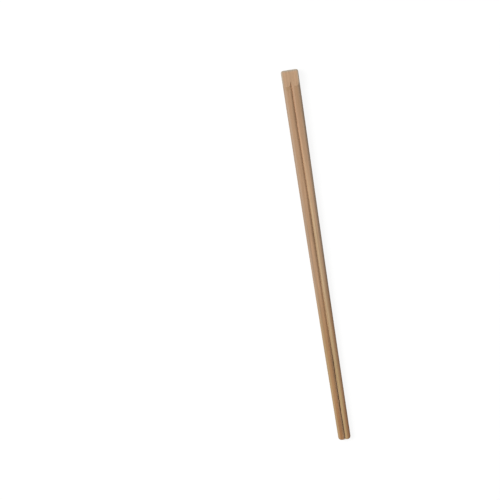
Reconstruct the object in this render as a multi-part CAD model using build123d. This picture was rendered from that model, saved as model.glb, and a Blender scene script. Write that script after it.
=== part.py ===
from build123d import *
import os

# Twin bamboo chopsticks, milled from one strip and not yet snapped apart.
# X runs from the tips to the head, Y across the pair and Z up from the surface it lies on.
# A form cutter works from each face. It rounds two sticks and leaves a groove between them with a web below it,
# and it lifts out before the end, so the head stays a plain block with hollow shoulders.
# From the tips on, a narrow slit parts the web, which makes the pair easy to snap.

# Driving dimensions, in millimetres

length = 230.0
head_end_width = 10.8
tip_end_width = 7.6
head_thickness = 5.0
tip_thickness = 3.5

# How far the cutters go below the two faces of the head where they are at their full depth
upper_cut_depth = 0.2
lower_cut_depth = 0.05
# Distance from the head end to that place
shoulder_from_head_end = 12.65
# Radius of a cutter where it shapes the crown of a stick
cutter_radius = 14.0
# How far a cutting tool stands clear of the strip, beyond its faces and beside it
cutter_clearance = 0.8

# Round of a stick, on its outer corners and on the flanks of the groove
shoulder_round = 1.75
tip_round = 1.5
# The groove is a sharp valley at the shoulder. Towards the tips it is a little deeper and has a level floor
shoulder_groove_depth = 0.9
tip_groove_depth = 1.0
shoulder_floor_width = 0.1
tip_floor_width = 0.8

# The slit runs from the tips to where the web is still whole
slit_length = 68.0
slit_tip_width = 0.4
slit_start_width = 0.05

head_edge_round = 0.7
# The outer corners of the pair at the tips, seen from above, and the rims of the tips, seen from the side
tip_outer_radius = 1.9
tip_rim_round = 0.75
# How far the rounding tool of the tips stands clear of the sticks where the rounding ends
tip_tool_clearance = 0.02
# No round takes more than this share of the wall it is on
largest_round_share = 0.45

shoulder_x = length - shoulder_from_head_end


def between(tip_value, shoulder_value, x):
    """Value at x of a size that changes evenly from the tips to the shoulder."""
    return tip_value + (shoulder_value - tip_value) * x / shoulder_x


def strip_width(x):
    """Width of the strip at x, which tapers evenly over the whole length."""
    return tip_end_width + (head_end_width - tip_end_width) * x / length


def floor_width(x):
    """Width of the groove's floor at x."""
    return between(tip_floor_width, shoulder_floor_width, x)


def stick_bottom(x):
    """Height of the sticks' underside at x."""
    return between(0, lower_cut_depth, x)


def stick_top(x):
    """Height of the sticks' crowns at x."""
    return between(tip_thickness, head_thickness - upper_cut_depth, x)


def stick_middle(x):
    """Height of the middle of the sticks and of the web at x."""
    return (stick_bottom(x) + stick_top(x)) / 2


def stick_thickness(x):
    """Thickness of the sticks at x."""
    return stick_top(x) - stick_bottom(x)


def stick_round(x):
    """Round of a stick at x, limited by its width and thickness."""
    stick_width = (strip_width(x) - floor_width(x)) / 2
    return min(between(tip_round, shoulder_round, x), largest_round_share * min(stick_width, stick_thickness(x)))


def groove_depth(x):
    """Depth of the groove below the crowns at x, at most the round of its flanks."""
    return min(between(tip_groove_depth, shoulder_groove_depth, x), stick_round(x))


def slit_width(x):
    """Width of the slit at x, which narrows evenly from the tips to its end."""
    return slit_tip_width + (slit_start_width - slit_tip_width) * x / slit_length


def across(x, sketch):
    """Stand a flat sketch up at x, with its own X along Y and its own Y along Z."""
    return Plane.YZ.offset(x) * sketch


def plate(low_y, high_y, low_z, high_z):
    """A rectangle across the strip, given by its edges."""
    return Pos((low_y + high_y) / 2, (low_z + high_z) / 2) * Rectangle(high_y - low_y, high_z - low_z)


def quarter_outline(x):
    """A quarter of the section, seen from its middle: half a wall, a corner, a crown, a flank, half the floor."""
    wall_y, crown_z, radius = strip_width(x) / 2, stick_thickness(x) / 2, stick_round(x)
    floor_y, floor_z = floor_width(x) / 2, crown_z - groove_depth(x)
    flank_y = floor_y + (radius**2 - (radius - groove_depth(x)) ** 2) ** 0.5
    wall = Line((wall_y, 0), (wall_y, crown_z - radius))
    corner = TangentArc(wall @ 1, (wall_y - radius, crown_z), tangent=wall % 1)
    crown = Line(corner @ 1, (flank_y, crown_z))
    flank = TangentArc(crown @ 1, (floor_y, floor_z), tangent=crown % 1)
    return wall + corner + crown + flank + Line(flank @ 1, (0, floor_z))


def pair_outline(x):
    """Section of the two sticks with the web between them."""
    half = quarter_outline(x) + mirror(quarter_outline(x), about=Plane.YZ)
    return Pos(0, stick_middle(x)) * make_face(half + mirror(half, about=Plane.XZ))


def sticks():
    """Both sticks with the whole web, from the tips to the shoulder."""
    return loft([across(x, pair_outline(x)) for x in (0, shoulder_x)], ruled=True)


def slit():
    """What the slit takes out of the web."""
    corners = [
        (x, side * slit_width(x) / 2)
        for x, side in ((-cutter_clearance, -1), (slit_length, -1), (slit_length, 1), (-cutter_clearance, 1))
    ]
    return extrude(make_face(Polyline(*corners, close=True)), head_thickness)


def form_cutter(facing):
    """What the cutter above the strip (+1) or below it (-1) takes out of the head as it lifts.

    Its profile is the space over the sticks and the groove, and over the flat sides of the sticks.
    """
    x = shoulder_x
    face, crown = (head_thickness, stick_top(x)) if facing > 0 else (0, stick_bottom(x))
    reach_y = head_end_width / 2 + cutter_clearance
    side_y = strip_width(x) / 2
    flat_side = stick_thickness(x) / 2 - stick_round(x)
    levels = (stick_middle(x), face + facing * cutter_clearance)
    side_levels = (stick_middle(x), stick_middle(x) + facing * flat_side)
    profile = plate(-reach_y, reach_y, min(levels), max(levels)) - pair_outline(x)
    profile -= plate(-reach_y, -side_y, min(side_levels), max(side_levels))
    profile -= plate(side_y, reach_y, min(side_levels), max(side_levels))
    axis = Axis((x, 0, crown + facing * cutter_radius), (0, -facing, 0))
    return revolve(across(x, profile), axis, 90)


def head():
    """The head block with eased edges and the hollow shoulders that the cutters leave."""
    corners = [
        (x, side * strip_width(x) / 2)
        for x, side in ((shoulder_x, -1), (length, -1), (length, 1), (shoulder_x, 1))
    ]
    block = extrude(make_face(Polyline(*corners, close=True)), head_thickness)
    start_face = block.faces().sort_by(Axis.X)[0]
    outer_edges = [edge for edge in block.edges() if edge not in start_face.edges()]
    return fillet(outer_edges, head_edge_round) - form_cutter(1) - form_cutter(-1)


def tip_waste():
    """What the rounding of the tips takes off: a block round the ends, less the rounded nose that stays."""
    nose_length = tip_outer_radius + tip_tool_clearance
    nose_width = strip_width(nose_length) + 2 * tip_tool_clearance
    nose_thickness = stick_top(nose_length) + 2 * tip_tool_clearance
    plan = Pos(nose_length / 2, 0) * Rectangle(nose_length, nose_width)
    plan = fillet(plan.vertices().group_by(Axis.X)[0], tip_outer_radius)
    nose = Pos(0, 0, -tip_tool_clearance) * extrude(plan, nose_thickness)
    rims = nose.faces().filter_by(Axis.Z).edges() - nose.faces().sort_by(Axis.X)[-1].edges()
    sides = rims.filter_by(GeomType.LINE).filter_by(Axis.X)
    nose = fillet(rims - sides, tip_rim_round)
    block = Box(2 * nose_length, 2 * nose_width, 2 * nose_thickness, align=(Align.MAX, Align.CENTER, Align.CENTER))
    return Pos(nose_length, 0, nose_thickness / 2) * block - nose


def twin_chopsticks():
    """The joined pair, lying flat with the middle of its underside at the origin."""
    pair = head() + sticks() - slit() - tip_waste()
    return Pos(-length / 2, 0, 0) * pair


os.makedirs("parts", exist_ok=True)
export_step(twin_chopsticks(), "parts/twin_chopsticks.step")
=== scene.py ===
# %% [markdown]
# # A joined pair of bamboo chopsticks
# The pair is milled from one strip of carbonised bamboo and hasn't been snapped apart yet.
# The imported CAD model is the frame: it says where the pair lies and how large it is, in metres.
# Its box is kept here.

import bmesh
import bpy
import numpy as np
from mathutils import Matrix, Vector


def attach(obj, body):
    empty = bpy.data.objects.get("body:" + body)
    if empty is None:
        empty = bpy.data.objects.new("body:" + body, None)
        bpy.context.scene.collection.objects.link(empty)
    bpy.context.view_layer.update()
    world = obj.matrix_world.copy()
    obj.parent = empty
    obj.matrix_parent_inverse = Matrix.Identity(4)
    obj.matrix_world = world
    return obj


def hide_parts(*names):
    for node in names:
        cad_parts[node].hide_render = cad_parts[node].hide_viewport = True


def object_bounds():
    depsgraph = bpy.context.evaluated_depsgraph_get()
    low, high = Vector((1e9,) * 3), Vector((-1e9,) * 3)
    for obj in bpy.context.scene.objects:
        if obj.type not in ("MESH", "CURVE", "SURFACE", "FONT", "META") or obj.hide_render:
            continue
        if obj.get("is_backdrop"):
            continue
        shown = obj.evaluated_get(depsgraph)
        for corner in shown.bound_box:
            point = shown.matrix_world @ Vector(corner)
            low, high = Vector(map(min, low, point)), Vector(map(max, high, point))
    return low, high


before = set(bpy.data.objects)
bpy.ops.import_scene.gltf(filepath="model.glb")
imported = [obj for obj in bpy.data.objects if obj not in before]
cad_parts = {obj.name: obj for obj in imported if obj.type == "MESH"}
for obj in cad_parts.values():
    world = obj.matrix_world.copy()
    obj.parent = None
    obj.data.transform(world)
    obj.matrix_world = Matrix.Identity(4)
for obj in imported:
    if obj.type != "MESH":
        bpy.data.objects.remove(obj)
cad_low, cad_high = (np.array(corner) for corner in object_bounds())
length, head_width, head_thickness = cad_high - cad_low
mm = 0.001
print("CAD box in mm:", np.round((cad_high - cad_low) / mm, 2))

# %% [markdown]
# ## The sizes of the strip
# The strip tapers in width and thickness from the head to the tips, and its underside stays flat.
# A form cutter rounds the sticks from each face and lifts out before the head, so the head stays a block.
# A designer would draw one section and loft it. In numpy the section's sizes become functions of x,
# measured from the tips, and every point of the surface can be worked out from them at once.

# %% Sizes along the strip
tip_width = 7.6 * mm
tip_thickness = 3.5 * mm
shoulder_from_head_end = 12.65 * mm
shoulder_x = length - shoulder_from_head_end
upper_cut = 0.2 * mm
lower_cut = 0.05 * mm


def taper(at_tips, at_shoulder, x):
    """A size that changes evenly from the tips to the shoulder: a straight line in x."""
    return at_tips + (at_shoulder - at_tips) * x / shoulder_x


def strip_width(x):
    """Width of the strip, a straight line from the tips to the head end."""
    return tip_width + (head_width - tip_width) * x / length


def stick_bottom(x):
    """Height of the sticks' underside, which the lower cutter lifts a little towards the shoulder."""
    return taper(0.0, lower_cut, x)


def stick_top(x):
    """Height of the sticks' crowns."""
    return taper(tip_thickness, head_thickness - upper_cut, x)


print("stick at the shoulder, thickness in mm:", round((stick_top(shoulder_x) - lower_cut) / mm, 2))

# %% [markdown]
# ## Irregularity that repeats on every run
# Bamboo is never perfectly even, and a split edge is ragged. A Displace modifier could roughen a finished
# mesh, but the edge of a split has to be known before the mesh is made. So the source of irregularity is a
# lattice of random numbers with smooth blending between its points. It depends on position alone, so pieces
# that share an edge get the same value there, and a seeded generator gives the same lattice on every run.

# %% Lattice noise
lattice_points = 64


def lattice_noise(points, cell, seed):
    """Random values between -1 and 1 on a lattice with the given cell size, blended smoothly in between.

    The weight of a lattice point falls from 1 to 0 over one cell as 1 - 3 t^2 + 2 t^3 along each axis.
    """
    values = np.random.default_rng(seed).uniform(-1, 1, (lattice_points,) * 3)
    place = np.asarray(points) / np.asarray(cell)
    base = np.floor(place).astype(int)
    t = place - base
    t = t * t * (3 - 2 * t)
    total = np.zeros(place.shape[:-1])
    for corner in np.ndindex(2, 2, 2):
        index = (base + corner) % lattice_points
        weight = np.where(corner, t, 1 - t).prod(axis=-1)
        total += weight * values[index[..., 0], index[..., 1], index[..., 2]]
    return total


def along_noise(x, layers):
    """Sum of lattice noises along one line, each layer with its own height, cell size and seed."""
    points = np.stack([x, np.zeros_like(x), np.zeros_like(x)], axis=-1)
    return sum(height * lattice_noise(points, cell, seed) for height, cell, seed in layers)


sample = along_noise(np.linspace(0, length, 500), [(1.0, 2 * mm, 1)])
print("one layer over the strip, lowest and highest:", np.round([sample.min(), sample.max()], 2))

# %% [markdown]
# ## The slit
# A web joins the sticks below the groove. From the tips on it is slit along its middle, so that the pair
# snaps apart easily. A blade starts such a slit and the fibres split ahead of it, so its edges wander a
# little, and it is narrower below than above. A Boolean would cut it with straight, clean walls. Here one
# function gives the free edge of the web on either stick, and past the slit's end both edges lie on one line.

# %% The edges of the slit
slit_end = 71.0 * mm
slit_width = 0.4 * mm
slit_share_below = 0.3
slit_offset = -0.05 * mm
slit_closing = 22 * mm
slit_tip_share, slit_tip_reach = 0.9, 8 * mm
tip_floor, shoulder_floor = 0.8 * mm, 0.1 * mm
largest_floor_share = 0.95
# Height, cell size and seed of each layer of noise
wander_layers = [(0.05 * mm, 9 * mm, 2), (0.03 * mm, 2.2 * mm, 3)]
step_layers = [(0.14, 1.7 * mm, 5), (0.05, 0.6 * mm, 8)]


def slit_edge(x, side, share=1.0):
    """Distance of the web's free edge from the middle of the pair, towards the stick on the given side.

    A wandering middle line, a little nearer to the stick at -Y, plus half a width with ragged steps on it.
    The width closes evenly over the last stretch, and is a little less at the tips. The slit is a wedge,
    so its lower edge has only a share of the width. No edge leaves the groove's floor.
    """
    opening = np.clip((slit_end - x) / slit_closing, 0, 1)
    opening = opening * np.minimum(slit_tip_share + (1 - slit_tip_share) * x / slit_tip_reach, 1)
    middle = opening * (slit_offset + along_noise(x, wander_layers))
    steps = along_noise(x, [(height, cell, seed + side) for height, cell, seed in step_layers])
    edge = side * middle + share * slit_width / 2 * opening * (1 + steps)
    return np.minimum(edge, largest_floor_share * taper(tip_floor, shoulder_floor, x) / 2)


sample = np.array([4, 20, 60, 80]) * mm
sample_widths = slit_edge(sample, 1) + slit_edge(sample, -1)
print("slit width in mm at 4, 20, 60 and 80 mm:", np.round(sample_widths / mm, 2))

# %% [markdown]
# ## Where the groove lies
# The cutters are set by eye, so the groove isn't quite in the middle of the pair: from the head to the tips
# it wanders to one side by a fraction of a millimetre. A Curve modifier could bend the finished pair, but
# its outer walls would bend too. Here only the inner points of the section follow the shift.

# %% The place of the groove
head_shift, middle_shift, tip_shift = -0.08 * mm, 0.36 * mm, 0.17 * mm
# Where each change of the shift starts, measured from the tips, and the stretch that it takes
upper_start, upper_stretch = 210 * mm, 75 * mm
lower_start, lower_stretch = 85 * mm, 40 * mm


def smooth(share):
    """A share from 0 to 1 with a gentle start and end: 3 t^2 - 2 t^3."""
    share = np.clip(share, 0, 1)
    return share**2 * (3 - 2 * share)


def groove_shift(x):
    """How far the groove lies off the middle towards -Y: the shift at the head plus two smooth changes."""
    to_middle = smooth((upper_start - x) / upper_stretch)
    to_tips = smooth((lower_start - x) / lower_stretch)
    return head_shift + (middle_shift - head_shift) * to_middle + (tip_shift - middle_shift) * to_tips


sample = np.array([0, 0.5, 1]) * length
print("groove off the middle in mm, tips to head:", np.round(groove_shift(sample) / mm, 2))

# %% [markdown]
# ## One section as a loop of points
# Half of the pair's section belongs to each stick. The loop starts low on the outer wall and goes up and over
# the crown, down the flank of the groove to its floor, down the wall of the slit and back below.
# A bevelled and subdivided block would come near this form. Here each stretch has a fixed number of steps, so
# the same column means the same line of the stick at every x, and creases always lie on a column.

# %% The section
STRETCHES = {
    "outer wall": 10, "outer upper corner": 14, "crown": 8, "flank": 14, "floor": 4,
    "slit wall": 4, "floor below": 4, "flank below": 14, "underside": 8, "outer lower corner": 14,
}
stretch_of = np.repeat(list(STRETCHES), list(STRETCHES.values()))
columns = len(stretch_of)
wall_top = int(np.argmax(stretch_of == "outer upper corner"))
slit_top = int(np.argmax(stretch_of == "slit wall"))
tip_round, shoulder_round = 1.5 * mm, 1.75 * mm
tip_groove, shoulder_groove = 1.0 * mm, 0.9 * mm


def stick_section(x, side):
    """Loop of points of the stick on one side at each x, as (y, z) arrays with a row for each x.

    Walls, crown and floor are straight lines. Corners and flanks are arcs: centre plus radius (cos, sin).
    A flank turns until it has gone down by the depth of the groove: cos(angle) = 1 - depth / radius.
    """
    x = x[:, None]
    steps = {name: np.arange(count)[None, :] / count for name, count in STRETCHES.items()}
    wall, shift = strip_width(x) / 2, -side * groove_shift(x)
    floor = taper(tip_floor, shoulder_floor, x) / 2 + shift
    free, free_below = slit_edge(x, side) + shift, slit_edge(x, side, slit_share_below) + shift
    low, high = stick_bottom(x), stick_top(x)
    radius, depth = taper(tip_round, shoulder_round, x), taper(tip_groove, shoulder_groove, x)
    swing = np.arccos(1 - depth / radius)
    brim = floor + radius * np.sin(swing)
    turn = steps["outer upper corner"] * np.pi / 2
    fall, climb = steps["flank"] * swing, (1 - steps["flank"]) * swing

    def line(name, start, end):
        """Points from start to end, without the end itself."""
        return start + (end - start) * steps[name]

    y = [
        line("outer wall", wall, wall),
        wall - radius + radius * np.cos(turn),
        line("crown", wall - radius, brim),
        brim - radius * np.sin(fall),
        line("floor", floor, free),
        line("slit wall", free, free_below),
        line("floor below", free_below, floor),
        brim - radius * np.sin(climb),
        line("underside", brim, wall - radius),
        wall - radius + radius * np.sin(turn),
    ]
    z = [
        line("outer wall", low + radius, high - radius),
        high - radius + radius * np.sin(turn),
        line("crown", high, high),
        high - radius + radius * np.cos(fall),
        line("floor", high - depth, high - depth),
        line("slit wall", high - depth, low + depth),
        line("floor below", low + depth, low + depth),
        low + radius - radius * np.cos(climb),
        line("underside", low, low),
        low + radius - radius * np.cos(turn),
    ]
    return np.concatenate(y, axis=1), np.concatenate(z, axis=1)


print("points in one section:", columns)

# %% [markdown]
# ## The rounded tips
# The tips are tumbled smooth: in plan the two outer corners of the pair are round, the rims above and below
# are eased, and the corners beside the slit stay sharp. A plain bevel would round every edge alike, so the
# front is a formula instead: rays go from the middle of the front to the section, and the end of each ray
# is rounded by its own amount.

# %% The front of the tips
tip_outer_round = 1.9 * mm
tip_rim = 0.75 * mm
slit_corner = 0.12 * mm
nose_length = 2.0 * mm
front_rows, nose_rows = 12, 6
longest_rounded_share = 0.98


def tip_rounding(outwards):
    """How far back the rounding of the front reaches, by the direction of the ray.

    With outwards as the cosine between the ray and straight out, it goes smoothly from the slit's corner
    at -1 over the rim at 0 to the outer round at 1.
    """
    return (tip_rim + (tip_outer_round - tip_rim) * smooth(outwards)
            + (slit_corner - tip_rim) * smooth(-outwards))


def tip_rows(y, z):
    """Rows from the middle of a tip's front out to its rim, and on along the stick to the rounding's end.

    A point of the front lies back by rounding (1 - sqrt(1 - u^2)), a quarter of an ellipse, where u goes
    from 0 to 1 over the rounded end of its ray.
    """
    spread = np.sin(np.linspace(0, np.pi / 2, front_rows))[:, None]
    middle_y, middle_z = (y.min() + y.max()) / 2, (z.min() + z.max()) / 2
    ray = np.hypot(y - middle_y, z - middle_z)
    rounding = tip_rounding((y - middle_y) / ray)
    rounded_end = np.minimum(rounding, longest_rounded_share * ray)
    u = np.clip(1 - (1 - spread) * ray / rounded_end, 0, 1)
    front_x = rounding * (1 - np.sqrt(1 - u**2))
    front_y = middle_y + (y - middle_y) * spread
    front_z = middle_z + (z - middle_z) * spread
    share = np.linspace(0, 1, nose_rows + 2)[1:-1, None]
    side_x = rounding + (nose_length - rounding) * share
    side = np.ones_like(side_x)
    return np.vstack([front_x, side_x]), np.vstack([front_y, side * y]), np.vstack([front_z, side * z])


sample = tip_rounding(np.array([-1, 0, 1]))
print("rounding in mm at the slit, the rim and outside:", np.round(sample / mm, 2))

# %% [markdown]
# ## The shoulders
# Before the head the cutters lift out. Every line of the section then rises on a circle round the cutter's
# axis until it meets the face of the head. That gives the hollow shoulders and the groove's pointed end.
# Subtracting a cutter with a Boolean would give the same form with a rough mesh. Following each line along
# its own circle keeps the columns, and rows close to the crease on either side keep it crisp.

# %% From the shoulder to the faces of the head
cutter_radius = 14.0 * mm
head_edge = 0.7 * mm
rise_rows, face_rows = 26, 22
# The row before the crease as a share of the run-out, and the row after it as a share of the face
row_before_crease, row_after_crease = 0.985, 0.012


def shoulder_rows(y, z):
    """Places x and heights z of the rows from the shoulder to near the head end, for a section's points.

    On the run-out, height = axis - sqrt(radius^2 - x^2), with x measured from the shoulder.
    The face of the head is level, and its eased edges are quarter circles in the section.
    """
    column = np.arange(columns)
    upper = (column >= wall_top) & (column <= slit_top)
    past_edge = np.clip(np.abs(y) - (strip_width(shoulder_x) / 2 - head_edge), 0, head_edge)
    ease = head_edge - np.sqrt(head_edge**2 - past_edge**2)
    face = np.where(upper, head_thickness - ease, ease)
    axis = np.where(upper, stick_top(shoulder_x) + cutter_radius, stick_bottom(shoulder_x) - cutter_radius)
    radius = np.abs(axis - z)
    run_out = np.sqrt(np.clip(radius**2 - (axis - face) ** 2, 0, None))
    rise = np.append(np.linspace(0, 1, rise_rows)[1:-1], (row_before_crease, 1.0))[:, None]
    rise_x = run_out * rise
    rise_z = axis - np.sign(axis - z) * np.sqrt(radius**2 - rise_x**2)
    flat = np.append(row_after_crease, np.linspace(0, 1, face_rows)[1:])[:, None]
    flat_x = run_out + (length - head_edge - shoulder_x - run_out) * flat
    x = np.vstack([rise_x, flat_x])
    z = np.vstack([rise_z, np.ones_like(flat) * face])
    up_wall = np.arange(wall_top) / wall_top
    for rows in (x, z):
        rows[:, :wall_top] = rows[:, :1] + (rows[:, [wall_top]] - rows[:, :1]) * up_wall
    return x + shoulder_x, z


sample_y, sample_z = stick_section(np.array([shoulder_x]), 1)
sample_x, _ = shoulder_rows(sample_y[0], sample_z[0])
sample_reach = sample_x[rise_rows - 1, [wall_top + STRETCHES["outer upper corner"], slit_top]] - shoulder_x
print("run-out in mm at the crown and at the groove:", np.round(sample_reach / mm, 2))

# %% [markdown]
# ## The head end
# The head is the end of the strip, sawn off and eased at its edges. The cutter lifts out a little askew, so
# the groove's point leans to one side, and the two corners of the end are worn rounder than its other edges.
# A Bevel modifier with weights could round them too. Quarter circles for the edge and a narrowing of the
# last stretch for the corners give both rounds and keep the rows and columns.

# %% The rows of the head
point_shift, point_reach = 0.3 * mm, 6.0 * mm
corner_cut, corner_reach = 0.75 * mm, 1.45 * mm
end_rows = 8


def head_rows(y, z, side):
    """Rows from the shoulder to the rim of the sawn end, for a section given as a row of points.

    The strip's taper spreads the points, and the point of the groove moves aside by a smooth step.
    The edge round the end is a quarter circle about a core that lies one radius inside.
    Over the last stretch the width also shrinks, by the square of the way into it, which rounds the corners.
    """
    x, z = shoulder_rows(y, z)
    y = y * strip_width(x) / strip_width(shoulder_x)
    aside = point_shift * smooth((x - shoulder_x) / point_reach)
    y = y + side * aside * (1 - np.abs(y) / (strip_width(x) / 2))
    turn = np.linspace(0, np.pi / 2, end_rows + 1)[1:, None]
    core_y = np.clip(y[-1], None, strip_width(x[-1]) / 2 - head_edge)
    core_z = np.clip(z[-1], head_edge, head_thickness - head_edge)
    end_x = x[-1] + head_edge * np.sin(turn)
    end_y = core_y + (y[-1] - core_y) * np.cos(turn)
    end_z = core_z + (z[-1] - core_z) * np.cos(turn)
    x, y, z = np.vstack([x, end_x]), np.vstack([y, end_y]), np.vstack([z, end_z])
    into_corner = np.clip((x - length + corner_reach) / corner_reach, 0, 1)
    return x, y * (1 - corner_cut * into_corner**2 / (strip_width(x) / 2)), z


_, sample_width, _ = head_rows(sample_y[0], sample_z[0], 1)
print("half the sawn end, width in mm:", np.round(sample_width[-1].max() / mm, 2))

# %% [markdown]
# ## The whole surface
# The rows of the tip, the stick, the shoulder and the head make one grid for each stick, closed round the
# section. Bridging edge loops in edit mode would do the same by hand, and stacking rows does it in one step.
# Where the web is whole, the walls of the slit would lie inside the bamboo, so they will be left out and the
# two grids meet there. A last grid closes the head end, with the section's columns and the wall's rows.

# %% Grids of the two sticks
fine_step, coarse_rows = 0.4 * mm, 140


def stick_grid(side):
    """Grid (x, y, z) of one stick with its half of the head, and the row where the web starts to be whole."""
    fine = np.arange(nose_length, slit_end, fine_step)
    coarse = np.linspace(slit_end, shoulder_x, coarse_rows)
    x = np.append(fine, coarse)
    y, z = stick_section(x, side)
    tip = tip_rows(y[0], z[0])
    head = head_rows(y[-1], z[-1], side)
    middle = (np.repeat(x[:, None], columns, axis=1), y, z)
    grid = np.stack([np.vstack(part) for part in zip(tip, middle, head)], axis=-1)
    return grid, len(tip[0]) + len(fine)


def end_grid(grid):
    """Grid of one half of the head end: the columns from wall to groove, by the heights of the wall."""
    last = grid[-1]
    y, z = np.meshgrid(last[wall_top: slit_top + 1, 1], last[: wall_top + 1, 2])
    return np.stack([np.full_like(y, length), y, z], axis=-1)


def quads(rows, count, closed, start):
    """Corner numbers of the faces of a grid whose points are numbered row by row from start."""
    row, column = np.meshgrid(np.arange(rows - 1), np.arange(count if closed else count - 1), indexing="ij")
    after = (column + 1) % count
    here, above = row * count, (row + 1) * count
    return start + np.stack((here + column, here + after, above + after, above + column), axis=-1)


sticks = {side: stick_grid(side) for side in (1, -1)}
print("rows and columns of a stick:", sticks[1][0].shape[:2], "web whole from row", sticks[1][1])

# %% [markdown]
# ## One list of points and faces
# Blender takes a mesh as one list of points and one of faces. Joining two objects with an operator would
# give the same, but numbering the faces of each grid from where the last one ended needs no operator.
# Each face notes its finish, so that one piece can carry milled, sawn and split bamboo, and each point notes
# whether the cutters shaped it.

# %% Points and faces
MILLED, SAWN, SPLIT = 0, 1, 2
points, faces, finishes, shaped = [], [], [], []
count = 0
for side, (grid, whole_row) in sticks.items():
    grid_faces = quads(*grid.shape[:2], True, count)
    keep = np.ones(grid_faces.shape[:2], bool)
    keep[whole_row:, stretch_of == "slit wall"] = False
    finish = np.where(stretch_of == "slit wall", SPLIT, MILLED) * np.ones((len(grid_faces), 1), int)
    # The front of the tips is cut across, so no part of it counts as split
    finish[: front_rows - 1] = MILLED
    end = end_grid(grid)
    end_faces = quads(*end.shape[:2], False, count + grid[..., 0].size).reshape(-1, 4)
    stacked = np.vstack([grid.reshape(-1, 3), end.reshape(-1, 3)])
    # The rows after the run-out are the plain faces of the head
    shaped_rows = len(grid) - face_rows - end_rows
    points.append(stacked * (1, side, 1))
    faces.append(np.vstack([grid_faces[keep], end_faces]))
    finishes.append(np.append(finish[keep], np.full(len(end_faces), SAWN)))
    shaped.append(np.arange(len(stacked)) < shaped_rows * columns)
    count += len(stacked)
points, faces = np.vstack(points), np.vstack(faces)
finishes, shaped = np.concatenate(finishes), np.concatenate(shaped)
print("points:", len(points), "faces:", len(faces), "split faces:", int((finishes == SPLIT).sum()))

# %% [markdown]
# ## Marks for the finish
# Some places don't look like the rest: the web beside the slit, where the bamboo has split along its fibres,
# and on the stick at +Y the flank above it, where the same pale colour is painted light on the shaded side of
# the groove; the eased edges of the head, which are greyer; and the outer walls, which are duller than the
# crowns. What the cutters shaped is browner than the plain faces of the head, except at the groove's point,
# which is painted paler as painted light on its shade. One could paint such places by hand. They follow from
# the shape, so they are worked out for every point and kept with the mesh as attributes, which a material can
# read in any view.

# %% Split, grey edge, outer and cut places, with painted light on the split flank and the groove's point
# On the stick at +Y the split mark reaches up the shaded flank of the groove, as painted light
left_split_and_light_reach, right_split_reach, split_fade = 0.8 * mm, 0.12 * mm, 25 * mm
edge_grey_reach, edge_grey_start, edge_grey_fade = 1.6 * mm, 2 * mm, 2 * mm
rim_reach, rim_fade = 1.5 * mm, 1.0 * mm
outer_reach, outer_fade = 2.4 * mm, 1.5 * mm
# The cut mark's fall at the groove's point is painted light: the shaded point takes the paler colour of the
# head
point_half_width, point_fade, point_painted_light = 2.0 * mm, 0.6 * mm, 0.8


def split_and_flank_light_mark(place):
    """How much a point belongs to the split web: 1 on the floor of the groove, falling off at the slit's end.

    On the stick at +Y it goes further up the flank, where it is painted light on the shaded side of the
    groove. The front of the tips is cut, not split, so it has none.
    """
    x, off_middle = place[:, 0], place[:, 1] + groove_shift(place[:, 0])
    reach = np.where(off_middle > 0, left_split_and_light_reach, right_split_reach)
    near = np.clip((taper(tip_floor, shoulder_floor, x) / 2 + reach - np.abs(off_middle)) / reach, 0, 1)
    return near * np.clip((slit_end - x) / split_fade, 0, 1) * np.clip(x / slit_corner - 1, 0, 1)


def edge_grey_mark(place):
    """How far a point is into the eased edges of the head, at the end and at the sides."""
    x, y = place[:, 0], np.abs(place[:, 1])
    side = np.clip((y - strip_width(x) / 2 + edge_grey_reach) / edge_grey_reach, 0, 1)
    in_head = np.clip((x - shoulder_x - edge_grey_start) / edge_grey_fade, 0, 1)
    return np.maximum(side * in_head, np.clip((x - length + rim_reach) / rim_fade, 0, 1))


def outer_mark(place):
    """How near a point is to the outer walls: 0 where their reach starts, rising evenly to 1."""
    inside = strip_width(place[:, 0]) / 2 - np.abs(place[:, 1])
    return np.clip((outer_reach - inside) / outer_fade, 0, 1)


def cut_and_point_light_mark(place, shaped):
    """1 where the cutters shaped the strip, falling to a fifth at the groove's point.

    The fall is a smooth step along the run-out, inside the groove only. It is painted light: the shaded point
    of the groove takes the paler colour of the head.
    """
    in_groove = np.clip((point_half_width - np.abs(place[:, 1])) / point_fade, 0, 1)
    return shaped * (1 - point_painted_light * in_groove * smooth((place[:, 0] - shoulder_x) / point_reach))


marks = {"split": split_and_flank_light_mark(points), "grey_edge": edge_grey_mark(points),
         "outer": outer_mark(points), "cut_and_point_light": cut_and_point_light_mark(points, shaped)}
print("points marked:", {name: int((mark > 0.5).sum()) for name, mark in marks.items()})

# %% [markdown]
# ## From grids to a closed mesh
# Dry bamboo strips are seldom straight. This one is bowed a little to one side, and its bow is deepest
# somewhat nearer to the tips than to the head. A Simple Deform modifier bends on a circle, while a formula
# can be skewed like this. The grids share their border points, so merging points that coincide closes every
# seam and pole. Faces that had no width disappear in the merge, and the normals are then turned outwards.

# %% A closed mesh
bow, bow_skew, bow_power = 0.3 * mm, 0.05, 1.5
merge_distance = 0.0008 * mm


def bowed(vertices):
    """Points moved towards +Y by bow sin(pi s)^power, with s as the share of the length.

    The share is skewed by a sine of its own, so the bow is deepest a little nearer to the tips.
    """
    share = vertices[:, 0] / length
    share = np.clip(share + bow_skew * np.sin(np.pi * share), 0, 1)
    aside = bow * np.sin(np.pi * share) ** bow_power
    return vertices + aside[:, None] * (0, 1, 0)


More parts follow.
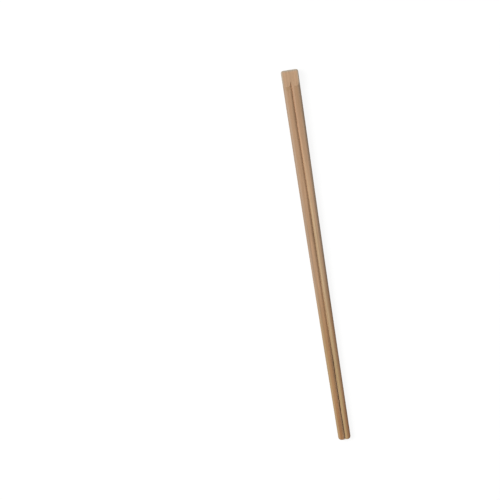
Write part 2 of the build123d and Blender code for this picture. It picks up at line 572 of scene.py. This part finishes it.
def closed_mesh(name, vertices, polygons, finish, attributes):
    """Mesh with coinciding points merged, points without faces removed and faces turned outwards."""
    mesh = bpy.data.meshes.new(name)
    mesh.from_pydata(vertices.tolist(), [], polygons.tolist())
    mesh.polygons.foreach_set("material_index", finish)
    for label, values in attributes.items():
        mesh.attributes.new(label, "FLOAT", "POINT").data.foreach_set("value", values)
    work = bmesh.new()
    work.from_mesh(mesh)
    bmesh.ops.delete(work, geom=[v for v in work.verts if not v.link_faces], context="VERTS")
    bmesh.ops.remove_doubles(work, verts=work.verts, dist=merge_distance)
    bmesh.ops.recalc_face_normals(work, faces=work.faces)
    open_edges = sum(not edge.is_manifold for edge in work.edges)
    print(name, "open edges:", open_edges, "volume in mm3:", round(work.calc_volume() / mm**3, 1))
    work.to_mesh(mesh)
    work.free()
    mesh.shade_smooth()
    return mesh


pair_mesh = closed_mesh("joined_pair", bowed(points) + (cad_low[0], 0, cad_low[2]), faces, finishes, marks)

# %% [markdown]
# ## The milled surface
# Milled bamboo has shallow lengthwise ridges, where the hard fibre bundles stand a little proud of the soft
# tissue between them, and the cutter leaves long, faint waves. A bump in the material would only shade them.
# Here both are pressed into the surface along its normals, so the pair never grows beyond the CAD model.

# %% The joined pair
ridge_depth, ridge_cell = 0.016 * mm, (18 * mm, 0.45 * mm, 0.45 * mm)
wave_depth, wave_cell = 0.03 * mm, (14 * mm, 4 * mm, 4 * mm)


def read_vectors(collection, attribute):
    """All vectors of a mesh attribute as one array."""
    flat = np.empty(len(collection) * 3)
    collection.foreach_get(attribute, flat)
    return flat.reshape(-1, 3)


place = read_vectors(pair_mesh.vertices, "co")
ridges = lattice_noise(place, ridge_cell, seed=5)
waves = lattice_noise(place, wave_cell, seed=6)
depth = ridge_depth * (1 + ridges) / 2 + wave_depth * (1 + waves) / 2
place -= read_vectors(pair_mesh.vertex_normals, "vector") * depth[:, None]
pair_mesh.vertices.foreach_set("co", place.ravel())
pair_mesh.update()
pair = bpy.data.objects.new("joined_pair", pair_mesh)
bpy.context.scene.collection.objects.link(pair)
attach(pair, "root")
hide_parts("twin_chopsticks")
print("triangles:", sum(len(polygon.vertices) - 2 for polygon in pair_mesh.polygons))

# %% [markdown]
# ## Building materials from nodes
# A material can be wired by hand in the shader editor, but a script rebuilds it on every run. A node tree is
# easier to read in code when one call adds a node, sets what is fixed and links what comes from another node.
# Three small helpers then cover what bamboo needs: a range mapped to another, two colours blended, and a
# point scaled so that one cell of a texture has a real size in each direction.

# %% Node helpers
def put(tree, kind, settings, inputs):
    """Add a node with the given settings. An input is either a value or the socket it is linked from."""
    node = tree.nodes.new(kind)
    for name, value in settings.items():
        setattr(node, name, value)
    for key, value in inputs.items():
        if isinstance(value, bpy.types.NodeSocket):
            tree.links.new(value, node.inputs[key])
        else:
            node.inputs[key].default_value = value
    return node


def ranged(tree, value, low, high, to_low, to_high):
    """Map a value from one range to another, smoothly and without leaving the second."""
    inputs = {"Value": value, "From Min": low, "From Max": high, "To Min": to_low, "To Max": to_high}
    return put(tree, "ShaderNodeMapRange", {"interpolation_type": "SMOOTHSTEP"}, inputs).outputs["Result"]


def blend(tree, factor, first, second, kind="MIX"):
    """Blend two colours by a factor."""
    settings = {"data_type": "RGBA", "blend_type": kind}
    return put(tree, "ShaderNodeMix", settings, {0: factor, 6: first, 7: second}).outputs[2]


def celled(tree, vector, cell):
    """Scale a point so that the given size along each axis becomes one unit of a texture."""
    inputs = {"Vector": vector, "Scale": [1 / size for size in cell]}
    return put(tree, "ShaderNodeMapping", {}, inputs).outputs[0]


print("node helpers:", [helper.__name__ for helper in (put, ranged, blend, celled)])

# %% [markdown]
# ## The fibres of bamboo
# Bamboo is soft tissue with hard bundles of fibre running through it. A picture of streaks could be wrapped
# round it, but a solid pattern is truer: round dots across the strip, carried along X on slightly wandering
# lines. A milled side cuts the bundles lengthwise and shows streaks, and a sawn end cuts them across and
# shows dots. The group puts out the bundles as a mask, fine streaks, a slow change of tone and a height for
# the bump. All the materials use it, so the streaks of a side run into the dots of an end.

# %% The shared fibre group
drift_cell, drift_reach = (40 * mm, 5 * mm, 5 * mm), 0.8 * mm
streak_cell, streak_detail = (9 * mm, 0.1 * mm, 0.1 * mm), 3.0
tone_cell, slow_detail = (55 * mm, 1.6 * mm, 1.6 * mm), 2.0
bundle_gap = 0.5 * mm
# A bundle's core and its edge as shares of that gap, and its height above the fine streaks
bundle_core, bundle_edge, bundle_height = 0.1, 0.32, 0.6


def stretched_noise(tree, vector, cell, detail):
    """A noise texture whose cells have a real size along each axis."""
    inputs = {"Vector": celled(tree, vector, cell), "Scale": 1.0, "Detail": detail}
    return put(tree, "ShaderNodeTexNoise", {}, inputs).outputs


def fibre_group():
    """Shader node group: flat Voronoi cells across the strip give the bundles.

    Two noises that are stretched along the strip give the streaks and the tone.
    """
    tree = bpy.data.node_groups.new("bamboo_fibres", "ShaderNodeTree")
    tree.interface.new_socket("Point", in_out="INPUT", socket_type="NodeSocketVector")
    for name in ("Bundles", "Streaks", "Tone", "Height"):
        tree.interface.new_socket(name, in_out="OUTPUT", socket_type="NodeSocketFloat")
    point = tree.nodes.new("NodeGroupInput").outputs["Point"]
    drift = stretched_noise(tree, point, drift_cell, slow_detail)["Color"]
    shift = put(tree, "ShaderNodeVectorMath", {"operation": "MULTIPLY_ADD"},
                {0: drift, 1: (0, drift_reach, drift_reach), 2: point}).outputs[0]
    shifted = put(tree, "ShaderNodeSeparateXYZ", {}, {0: shift}).outputs
    across = put(tree, "ShaderNodeCombineXYZ", {}, {"X": shifted["Y"], "Y": shifted["Z"]}).outputs[0]
    cells = put(tree, "ShaderNodeTexVoronoi", {"voronoi_dimensions": "2D"},
                {"Vector": celled(tree, across, (bundle_gap, bundle_gap, bundle_gap)), "Scale": 1.0})
    bundles = ranged(tree, cells.outputs["Distance"], bundle_core, bundle_edge, 1.0, 0.0)
    fine = stretched_noise(tree, shift, streak_cell, streak_detail)["Fac"]
    slow = stretched_noise(tree, shift, tone_cell, slow_detail)["Fac"]
    height = put(tree, "ShaderNodeMath", {"operation": "MULTIPLY_ADD"},
                 {0: bundles, 1: bundle_height, 2: fine}).outputs[0]
    put(tree, "NodeGroupOutput", {}, {"Bundles": bundles, "Streaks": fine, "Tone": slow, "Height": height})
    return tree


fibres = fibre_group()
print("fibre group:", len(fibres.nodes), "nodes")

# %% [markdown]
# ## Bamboo as a material
# Every finish of the strip is the same bamboo: a colour with the slow tone, the fine grain and the bundles of
# the fibres on it, and a fine relief. Copying one material three times would let the copies drift apart, so
# what they share is written once: how a material starts, how a colour gets its grain, how the bump is made
# and how one colour goes over into another along the strip.

# %% What the finishes share
bamboo_specular = 0.36
bundle_brown = (0.30, 0.165, 0.085, 1)
# Nearly all values of a noise texture lie between these
noise_low, noise_high = 0.3, 0.7


def new_material(name):
    """Material with its Principled shader's inputs, a point on the object and the fibres at that point."""
    material = bpy.data.materials.new(name)
    material.use_nodes = True
    tree = material.node_tree
    point = tree.nodes.new("ShaderNodeTexCoord").outputs["Object"]
    grain = put(tree, "ShaderNodeGroup", {"node_tree": fibres}, {"Point": point}).outputs
    shader = tree.nodes["Principled BSDF"].inputs
    shader["Specular IOR Level"].default_value = bamboo_specular
    return material, tree, shader, point, grain


def grained(tree, colour, grain, contrast, bundle_share):
    """Colour with the slow tone, the fine streaks and the bundles of the fibres on it."""
    tone = ranged(tree, grain["Tone"], noise_low, noise_high, 1 - contrast, 1 + contrast)
    fine = ranged(tree, grain["Streaks"], noise_low, noise_high, 1 - contrast, 1 + contrast)
    shade = put(tree, "ShaderNodeMath", {"operation": "MULTIPLY"}, {0: tone, 1: fine}).outputs[0]
    toned = blend(tree, 1.0, colour, shade, "MULTIPLY")
    share = ranged(tree, grain["Bundles"], 0.0, 1.0, 0.0, bundle_share)
    return blend(tree, share, toned, bundle_brown)


def bumped(tree, grain, strength, depth):
    """Normal raised by the fibres, with the depth in metres."""
    inputs = {"Height": grain["Height"], "Strength": strength, "Distance": depth}
    return put(tree, "ShaderNodeBump", {}, inputs).outputs["Normal"]


def along(tree, place, span, first, second):
    """Blend from the first colour to the second while a coordinate crosses a span given in millimetres."""
    low, high = span
    return blend(tree, ranged(tree, place, low * mm, high * mm, 0.0, 1.0), first, second)


outputs = [item.name for item in fibres.interface.items_tree if item.in_out == "OUTPUT"]
print("what the fibres give each finish:", outputs)

# %% [markdown]
# ## Colours near the shoulder
# Steaming turns bamboo from straw to tan. Towards the shoulder the outer part of the stick at -Y is a darker
# brown, the hollow run-out of the stick at +Y gets a brown arc that is painted shade of its surface facing
# the tips, and the outer walls are greyer. A painted picture could hold these changes, but only as finely as
# its pixels. Blends between a few colours by the place on the strip stay smooth however near one looks.

# %% The upper colours
crown_tan, left_crown_tan = (0.45, 0.272, 0.155, 1), (0.478, 0.29, 0.165, 1)
# The run-out brown is painted shade on the hollow run-out of the stick at +Y; the other brown is the darker
# colour of the stick at -Y near the shoulder
shoulder_brown, run_out_shade_brown = (0.40, 0.24, 0.13, 1), (0.43, 0.262, 0.138, 1)
wall_grey, wall_grey_share = (0.37, 0.258, 0.172, 1), 0.75
# Where one colour goes over into the next, from and to, in millimetres along X or Y
left_crown_y = (0.9, 1.7)
shoulder_brown_x, shoulder_brown_y = (80, 96), (-2.3, -1.1)
run_out_x, run_out_y = (101.8, 103.4), (1.0, 1.8)


def upper_colour(tree, x, y, outer):
    """Tan crowns and grey walls. The shoulder is a darker brown on the right, with a brown arc of painted
    shade on the left run-out.
    """
    crown = along(tree, y, left_crown_y, crown_tan, left_crown_tan)
    arc = along(tree, y, run_out_y, left_crown_tan, run_out_shade_brown)
    run_out = along(tree, x, run_out_x, left_crown_tan, arc)
    shoulder_browned = along(tree, x, shoulder_brown_x, crown, along(tree, y, shoulder_brown_y, shoulder_brown, run_out))
    return blend(tree, ranged(tree, outer, 0.0, 1.0, 0.0, wall_grey_share), shoulder_browned, wall_grey)


print("the rubbed colours come in between x in mm:", shoulder_brown_x)

# %% [markdown]
# ## Colours towards the tips
# The strip was steamed unevenly: the stick at +Y turns orange towards its tip with an olive outer wall, and
# the other turns olive with a reddish outer edge. The flank of the groove on the stick at +Y, which faces
# away from the lamp, is painted pale as painted light. One gradient along the strip can't give that, so each
# stick has its own blends across its width and along it.

# %% The colours of the two sticks
# The pale flank colour is painted light on the shaded flank of the groove
left_flank_painted_light, left_outer_olive = (0.505, 0.278, 0.137, 1), (0.362, 0.232, 0.108, 1)
left_inner_orange, tip_orange = (0.41, 0.222, 0.098, 1), (0.358, 0.173, 0.068, 1)
left_flank_y, left_outer_y = (0.8, 1.8), (2.3, 3.3)
left_tip_flank_y, left_tip_outer_y = (0.7, 1.5), (2.2, 3.2)
left_tip_x, left_upper_x = (-104, -78), (-60, -5)
right_inner_pale, right_inner_olive = (0.46, 0.318, 0.178, 1), (0.365, 0.25, 0.113, 1)
right_outer_red, tip_red = (0.34, 0.19, 0.095, 1), (0.31, 0.155, 0.068, 1)
right_outer_y, right_tip_y = (-2.7, -1.5), (-2.6, -1.0)
right_tip_x, right_pale_x, right_red_x, right_upper_x = (-106, -86), (-90, -15), (-45, 15), (5, 85)


def left_colour(tree, x, y, upper):
    """Colour of the stick at +Y: flank, crown and wall across it, and tip, stick and upper part along it. The
    pale flank is painted light on the shaded side of the groove.
    """
    crown = along(tree, y, left_flank_y, left_flank_painted_light, left_inner_orange)
    stick = along(tree, y, left_outer_y, crown, left_outer_olive)
    tip_crown = along(tree, y, left_tip_flank_y, left_flank_painted_light, tip_orange)
    tip = along(tree, y, left_tip_outer_y, tip_crown, left_outer_olive)
    return along(tree, x, left_upper_x, along(tree, x, left_tip_x, tip, stick), upper)


def right_colour(tree, x, y, upper):
    """Colour of the stick at -Y: its outer and inner halves change along it at different places."""
    inner = along(tree, x, right_pale_x, right_inner_olive, right_inner_pale)
    inner = along(tree, x, right_upper_x, inner, upper)
    outer = along(tree, x, right_red_x, right_outer_red, upper)
    stick = along(tree, y, right_outer_y, outer, inner)
    tip = along(tree, y, right_tip_y, tip_red, right_inner_olive)
    return along(tree, x, right_tip_x, tip, stick)


print("the colours of the tips end at x in mm, left and right:", left_tip_x[1], right_tip_x[1])

# %% [markdown]
# ## Milled and carbonised
# The cutters leave a satin surface. The head, which they don't touch, is pale, the split web is pinkish and
# the eased edges of the head are grey. The split pink also paints light on the shaded flank at +Y, the head's
# pale colour paints light at the groove's point, and a brown on the left run-out is painted shade. Separate
# materials could carry these colours, but most changes are gradual, so the marks of the mesh blend them. On
# the cut front of the tips the bundles show more strongly than elsewhere.

# %% The milled material
head_tan = (0.505, 0.32, 0.19, 1)
split_pink_and_flank_light = (0.56, 0.36, 0.21, 1)
# The eased edges of the head are greyer than its faces
edge_grey, edge_grey_share = (0.43, 0.362, 0.27, 1), 0.9
middle_y = (-0.5, 0.5)
front_bundles, side_bundles = 0.7, 0.38
milled_contrast = 0.1
milled_roughness = (0.5, 0.66)
milled_bump = (0.4, 0.03 * mm)


def milled_bamboo():
    """The surface that the cutters leave, with the plain faces of the head and its greyer eased edges, and
    with painted light in the groove and painted shade on the left run-out.
    """
    material, tree, shader, point, grain = new_material("milled_bamboo")
    x, y, _ = put(tree, "ShaderNodeSeparateXYZ", {}, {0: point}).outputs
    split, grey_edge, outer, cut_and_point_light = (
        put(tree, "ShaderNodeAttribute", {"attribute_name": name}, {}).outputs["Fac"]
        for name in ("split", "grey_edge", "outer", "cut_and_point_light")
    )
    upper = upper_colour(tree, x, y, outer)
    colour = along(tree, y, middle_y, right_colour(tree, x, y, upper), left_colour(tree, x, y, upper))
    colour = blend(tree, cut_and_point_light, head_tan, colour)
    colour = blend(tree, split, colour, split_pink_and_flank_light)
    colour = blend(tree, ranged(tree, grey_edge, 0.0, 1.0, 0.0, edge_grey_share), colour, edge_grey)
    bundles = ranged(tree, x, -length / 2, -length / 2 + tip_rim, front_bundles, side_bundles)
    roughness = ranged(tree, grain["Streaks"], noise_low, noise_high, *milled_roughness)
    tree.links.new(grained(tree, colour, grain, milled_contrast, bundles), shader["Base Color"])
    tree.links.new(roughness, shader["Roughness"])
    tree.links.new(bumped(tree, grain, *milled_bump), shader["Normal"])
    return material


pair_mesh.materials.append(milled_bamboo())
print("nodes of the milled material:", len(pair_mesh.materials[MILLED].node_tree.nodes))

# %% [markdown]
# ## Sawn and split
# The saw leaves the head end rough and a little darker, because the open ends of the bundles swallow light.
# The walls of the slit have split along the fibres: they are matt and strongly streaked, and their dark brown
# is painted shade of the deep, narrow slit.
# Both could be patches of the milled material, but they are rougher and have hard borders. So they are
# finishes of their own, and start from the same fibre group because they are the same bamboo.

# %% The sawn and split materials
sawn_tan, sawn_contrast, sawn_bundles = (0.40, 0.305, 0.2, 1), 0.1, 0.7
sawn_roughness, sawn_bump = (0.65, 0.8), (0.6, 0.05 * mm)
# The dark brown of the slit walls is painted shade of the deep, narrow slit
slit_shade_brown, slit_contrast, slit_bundles = (0.28, 0.16, 0.06, 1), 0.16, 0.5
slit_roughness, slit_bump = (0.7, 0.9), (0.8, 0.08 * mm)


def sawn_bamboo():
    """The end of the head, where the bundles show as dots."""
    material, tree, shader, _, grain = new_material("sawn_bamboo")
    roughness = ranged(tree, grain["Bundles"], 0.0, 1.0, *sawn_roughness)
    tree.links.new(grained(tree, sawn_tan, grain, sawn_contrast, sawn_bundles), shader["Base Color"])
    tree.links.new(roughness, shader["Roughness"])
    tree.links.new(bumped(tree, grain, *sawn_bump), shader["Normal"])
    return material


def split_bamboo():
    """The walls of the slit, with the streaks of the fibres, in a dark brown that is painted shade."""
    material, tree, shader, _, grain = new_material("split_bamboo")
    roughness = ranged(tree, grain["Streaks"], noise_low, noise_high, *slit_roughness)
    tree.links.new(grained(tree, slit_shade_brown, grain, slit_contrast, slit_bundles), shader["Base Color"])
    tree.links.new(roughness, shader["Roughness"])
    tree.links.new(bumped(tree, grain, *slit_bump), shader["Normal"])
    return material


pair_mesh.materials.append(sawn_bamboo())
pair_mesh.materials.append(split_bamboo())
print("materials:", [material.name for material in pair_mesh.materials])

# %% [markdown]
# ## The floor
# The pair lies on a white table, photographed so bright that the table goes to plain white.
# More lamp light would bleach the bamboo as well, so the whiteness is given to the floor's own material: to
# the camera, and in glossy or clear surfaces, it is a dark diffuse surface with a glow added to it, and to
# all other rays a plain grey one. The glow is off where the floor is closed in on all sides, so the slit
# between the sticks stays dark, and the diffuse part keeps the soft shadow.

# %% Floor
floor_size = 6.0
plain_grey, shadow_grey = (0.5, 0.5, 0.5, 1), (0.16, 0.16, 0.16, 1)
glow_level = 0.87
enclosed_reach = 8.0 * mm
# The share of open sky above a point of the floor at which the glow starts, and at which it is full
glow_start, glow_full = 0.2, 0.42


def background_ray(tree):
    """1 for a ray that shows the background: from the camera, off a glossy surface or through a clear one."""
    path = tree.nodes.new("ShaderNodeLightPath").outputs
    either = put(tree, "ShaderNodeMath", {"operation": "MAXIMUM"},
                 {0: path["Is Camera Ray"], 1: path["Is Glossy Ray"]}).outputs[0]
    return put(tree, "ShaderNodeMath", {"operation": "MAXIMUM"},
               {0: either, 1: path["Is Transmission Ray"]}).outputs[0]


def table_material():
    """Plain grey, or for rays that show the background a darker grey plus a glow where the floor is open."""
    material = bpy.data.materials.new("white_table")
    material.use_nodes = True
    tree = material.node_tree
    tree.nodes.clear()
    plain = put(tree, "ShaderNodeBsdfDiffuse", {}, {"Color": plain_grey})
    shadowed = put(tree, "ShaderNodeBsdfDiffuse", {}, {"Color": shadow_grey})
    openness = put(tree, "ShaderNodeAmbientOcclusion", {}, {"Distance": enclosed_reach}).outputs["AO"]
    glow_colour = ranged(tree, openness, glow_start, glow_full, 0.0, 1.0)
    glow = put(tree, "ShaderNodeEmission", {}, {"Color": glow_colour, "Strength": glow_level})
    seen = put(tree, "ShaderNodeAddShader", {}, {0: shadowed.outputs[0], 1: glow.outputs[0]})
    shaders = {0: background_ray(tree), 1: plain.outputs[0], 2: seen.outputs[0]}
    mix = put(tree, "ShaderNodeMixShader", {}, shaders)
    put(tree, "ShaderNodeOutputMaterial", {}, {"Surface": mix.outputs[0]})
    return material


def white_floor():
    """A square in the plane that the pair lies on."""
    corners = np.array([(-1, -1, 0), (1, -1, 0), (1, 1, 0), (-1, 1, 0)]) * floor_size / 2
    mesh = bpy.data.meshes.new("floor")
    mesh.from_pydata((corners + (0, 0, cad_low[2])).tolist(), [], [(0, 1, 2, 3)])
    mesh.materials.append(table_material())
    floor = bpy.data.objects.new("floor", mesh)
    bpy.context.scene.collection.objects.link(floor)
    return floor


white_floor()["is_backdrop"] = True
print("floor:", floor_size, "m square")

# %% [markdown]
# ## The light
# One large soft lamp stands to the left in the picture, low enough to brighten the left flank of each stick
# and to leave the right flank dim, and a sky fills the rest, a little brighter on the lamp's side.
# Together they light a level white card to about plain white, so a colour renders about as it is written.
# A sun lamp would give the same slant, but its shadows would be hard.

# %% Key lamp and sky
key_distance = 1.6
key_size = 0.9
key_level = 0.69
key_elevation = np.radians(42)
key_turn = np.radians(15)
sky_level = 0.54
sky_lean = 0.3


def key_lamp():
    """An area lamp that looks at the origin, placed by its elevation and its turn from +Y to +X.

    A lamp of P watts at distance d lights a facing surface to P / (pi^2 d^2) of its colour.
    """
    direction = np.array([np.sin(key_turn), np.cos(key_turn), np.tan(key_elevation)]) * np.cos(key_elevation)
    data = bpy.data.lights.new("key", "AREA")
    data.size = key_size
    data.energy = key_level * np.pi**2 * key_distance**2
    lamp = bpy.data.objects.new("key", data)
    lamp.location = direction * key_distance
    lamp.rotation_euler = (-lamp.location).to_track_quat("-Z", "Y").to_euler()
    bpy.context.scene.collection.objects.link(lamp)
    return lamp


def soft_sky():
    """A white world that lights at the sky's level, more from +Y, and is plain white as a background.

    The level changes evenly with the Y of the direction, from sky (1 - lean) to sky (1 + lean).
    """
    world = bpy.data.worlds.new("sky")
    world.use_nodes = True
    tree = world.node_tree
    back = tree.nodes["Background"].inputs
    back["Color"].default_value = (1, 1, 1, 1)
    place = tree.nodes.new("ShaderNodeTexCoord").outputs["Generated"]
    direction = put(tree, "ShaderNodeSeparateXYZ", {}, {0: place}).outputs
    low, high = sky_level * (1 - sky_lean), sky_level * (1 + sky_lean)
    level = put(tree, "ShaderNodeMapRange", {},
                {"Value": direction["Y"], "From Min": -1.0, "To Min": low, "To Max": high})
    seen = put(tree, "ShaderNodeMapRange", {},
               {"Value": background_ray(tree), "To Min": level.outputs["Result"]})
    tree.links.new(seen.outputs["Result"], back["Strength"])
    bpy.context.scene.world = world


print("key lamp:", round(key_lamp().data.energy, 1), "W")
soft_sky()

# %% [markdown]
# ## The camera
# The photograph looks straight down from far away. The pair stands upright in the frame and leans a little to
# the left. The real width of the frame follows from the pair's length in pixels, and the camera's place from
# where the middle of the pair appears. An orthographic camera has no perspective at all, and a real one
# always has a little, so a long lens from far away is used.

# %% Camera
frame_pixels = 500
pair_pixels = 373.5
pair_middle = np.array([317.0, 254.8])
lean = np.radians(8.575)
camera_distance = 1.5
clip_distance = 15.0


def overhead_camera():
    """A camera that looks down, turned so that the pair leans in the picture as it does in the photograph."""
    frame_width = length * frame_pixels / pair_pixels
    up = np.array([np.cos(lean), -np.sin(lean), 0])
    right = np.array([-np.sin(lean), -np.cos(lean), 0])
    off_middle = (pair_middle - frame_pixels / 2) * frame_width / frame_pixels
    place = -right * off_middle[0] + up * off_middle[1]
    data = bpy.data.cameras.new("camera")
    data.lens = data.sensor_width * camera_distance / frame_width
    data.clip_end = clip_distance
    camera = bpy.data.objects.new("camera", data)
    camera.location = (place[0], place[1], cad_low[2] + head_thickness / 2 + camera_distance)
    camera.rotation_euler = (0, 0, np.arctan2(right[1], right[0]))
    bpy.context.scene.collection.objects.link(camera)
    return camera


bpy.context.scene.camera = overhead_camera()
bpy.context.scene.view_settings.view_transform = "Standard"
print("lens:", round(bpy.context.scene.camera.data.lens, 1), "mm")
